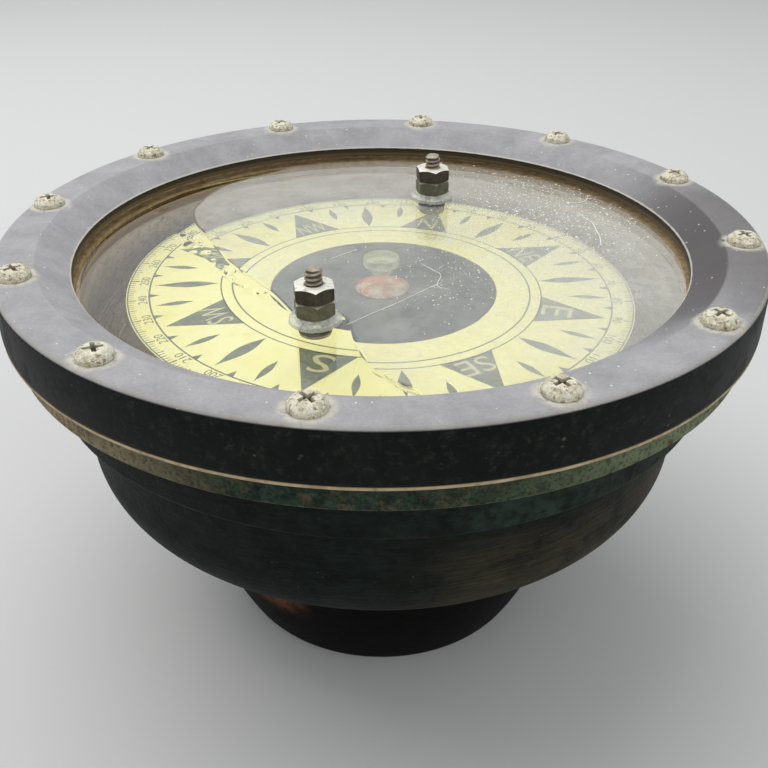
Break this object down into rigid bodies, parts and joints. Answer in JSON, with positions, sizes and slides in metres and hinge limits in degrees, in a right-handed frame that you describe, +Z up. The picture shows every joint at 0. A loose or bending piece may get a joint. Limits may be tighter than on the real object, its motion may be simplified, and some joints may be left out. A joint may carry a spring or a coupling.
{
  "type": "marine compass",
  "caption": "Liquid-filled marine compass bowl: glazed bezel ring over a stepped bowl and tapered foot, with a pivoted card on a float",
  "frame": {"origin": "middle of the foot's resting face", "axes": "+Z up through the pivot and the glass; -Y towards the reader of the card as pictured; +X to the reader's right"},
  "size_m": [0.22, 0.22, 0.1344],
  "materials": {
    "bowl_casting": "dark oxidised casting with green verdigris",
    "flange_gasket": "tan cork and rubber sheet",
    "bezel_enamel": "worn dark enamel",
    "screw_metal": "corroded, pale",
    "seal_rubber": "matte",
    "cover_glass": "clear float glass",
    "clear_plastic": "clear moulding, slightly yellow",
    "stud_metal": "dull",
    "nut_brass": "greenish, dull",
    "lock_nut_brass": "dark brown, worn bright on top",
    "foot_casting": "very dark, worn to copper in places",
    "brass_fastener": "satin",
    "lead_weight": "dull lead",
    "diaphragm_metal": "thin rolled bronze",
    "inner_brass": "satin",
    "pin_steel": "polished, hardened",
    "lubber_black": "blackened",
    "jewel": "polished sapphire",
    "card_enamel": "pale yellow with dark green-grey print",
    "float_paint": "dark slate paint",
    "float_copper": "spun copper sheet",
    "cap_copper": "reddish copper",
    "rivet_metal": "painted over with the card",
    "magnet_steel": "dark, lacquered"
  },
  "bodies": {
    "bowl": {"bowl_body": "bowl_casting", "flange_seal": "flange_gasket", "bezel_ring": "bezel_enamel", "bezel_screws": "screw_metal", "glass_lower_seal": "seal_rubber", "cover_glass": "cover_glass", "glass_upper_seal": "seal_rubber", "centre_stop": "clear_plastic", "terminal_studs": "stud_metal", "terminal_inner_washers": "seal_rubber", "terminal_washers": "clear_plastic", "terminal_nuts": "nut_brass", "terminal_lock_nuts": "lock_nut_brass", "foot_cover": "foot_casting", "foot_screws": "brass_fastener", "ballast_weight": "lead_weight", "expansion_diaphragm": "diaphragm_metal", "diaphragm_seal": "seal_rubber", "diaphragm_clamp_ring": "inner_brass", "diaphragm_screws": "brass_fastener", "pivot_bridge": "inner_brass", "bridge_screws": "brass_fastener", "pivot_post": "inner_brass", "pivot_lock_nut": "inner_brass", "pivot_pin": "pin_steel", "lubber_bracket": "inner_brass", "lubber_pin": "lubber_black", "filler_plug": "brass_fastener", "filler_washer": "seal_rubber"},
    "jewel": {"pivot_jewel": "jewel"},
    "setting": {"jewel_setting": "inner_brass"},
    "card": {"compass_card": "card_enamel", "float_top": "float_paint", "float_bottom": "float_copper", "float_cap": "cap_copper", "card_rivets": "rivet_metal", "magnet_bars": "inner_brass", "magnets": "magnet_steel"}
  },
  "joints": [
    {"name": "card_pitch", "type": "hinge", "parent": "bowl", "child": "jewel", "pos_m": [0, 0, 0.0974], "axis": [1, 0, 0], "range_deg": [-7, 7]},
    {"name": "card_roll", "type": "hinge", "parent": "jewel", "child": "setting", "pos_m": [0, 0, 0.0974], "axis": [0, 1, 0], "range_deg": [-7, 7]},
    {"name": "card_spin", "type": "hinge", "parent": "setting", "child": "card", "pos_m": [0, 0, 0.0974], "axis": [0, 0, 1], "continuous": true}
  ]
}
